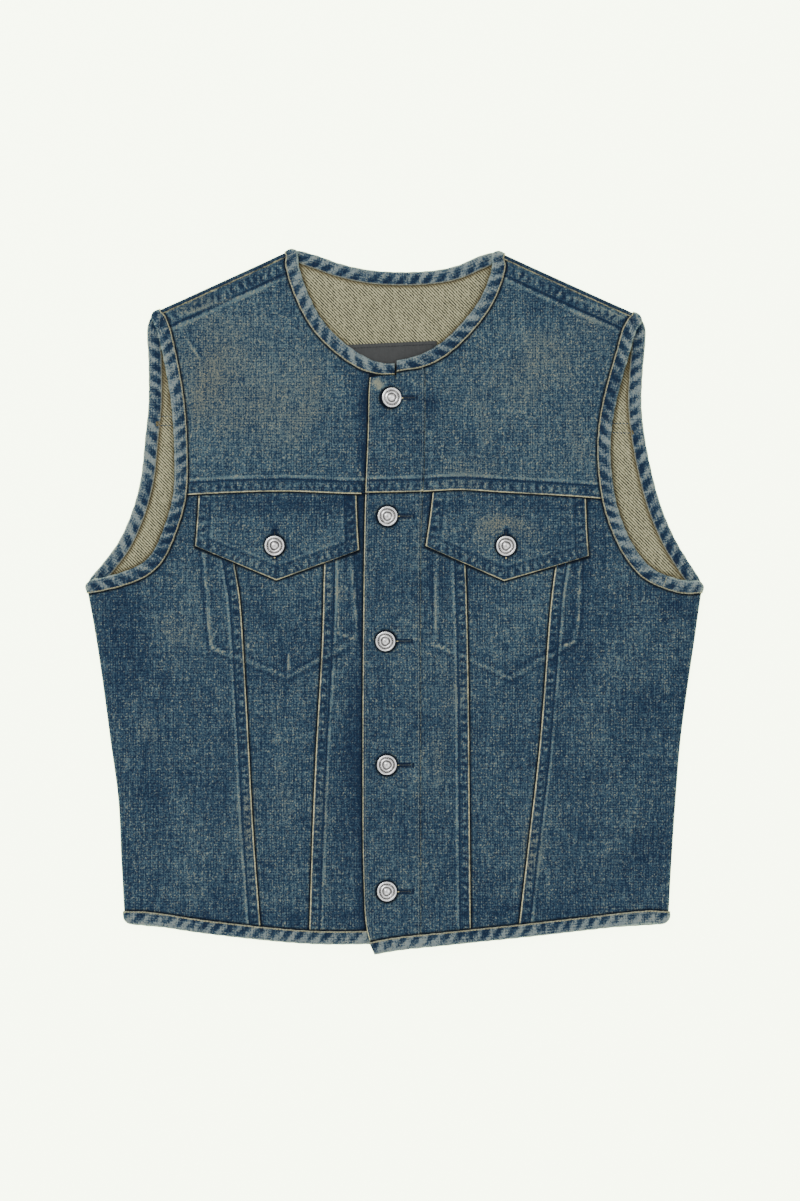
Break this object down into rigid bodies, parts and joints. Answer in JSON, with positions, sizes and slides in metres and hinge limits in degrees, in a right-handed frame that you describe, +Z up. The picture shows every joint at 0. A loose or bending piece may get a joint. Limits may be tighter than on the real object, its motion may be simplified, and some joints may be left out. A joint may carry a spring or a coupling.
{
  "type": "denim vest",
  "caption": "Sleeveless round-neck denim vest laid flat face up, with bound edges, front yokes, flapped chest pockets and shank buttons.",
  "frame": {"origin": "centre of the outline, on the surface that the vest lies on", "axes": "+Z up out of the surface, +Y towards the neck, +X towards the wearer's left"},
  "size_m": [0.5283, 0.6015, 0.0122],
  "materials": {
    "denim": "washed indigo twill",
    "binding_denim": "worn indigo twill, pale at the edges",
    "metal": "worn silver plating",
    "leather": "plain dark patch"
  },
  "bodies": {
    "root": {"back_yoke": "denim", "back_panel": "denim", "front_yoke_right": "denim", "front_yoke_left": "denim", "side_front_right": "denim", "side_front_left": "denim", "centre_front_right": "denim", "centre_front_left": "denim", "inner_front_right": "denim", "inner_front_left": "denim", "placket_upper": "denim", "placket_lower": "denim", "pocket_flap_right": "denim", "pocket_flap_left": "denim", "pocket_bag_right": "denim", "pocket_bag_left": "denim", "neck_binding": "binding_denim", "hem_binding": "binding_denim", "armhole_binding_right": "binding_denim", "armhole_binding_left": "binding_denim", "button_1": "metal", "button_2": "metal", "button_3": "metal", "button_4": "metal", "button_5": "metal", "flap_button_right": "metal", "flap_button_left": "metal", "label": "leather"}
  },
  "joints": []
}
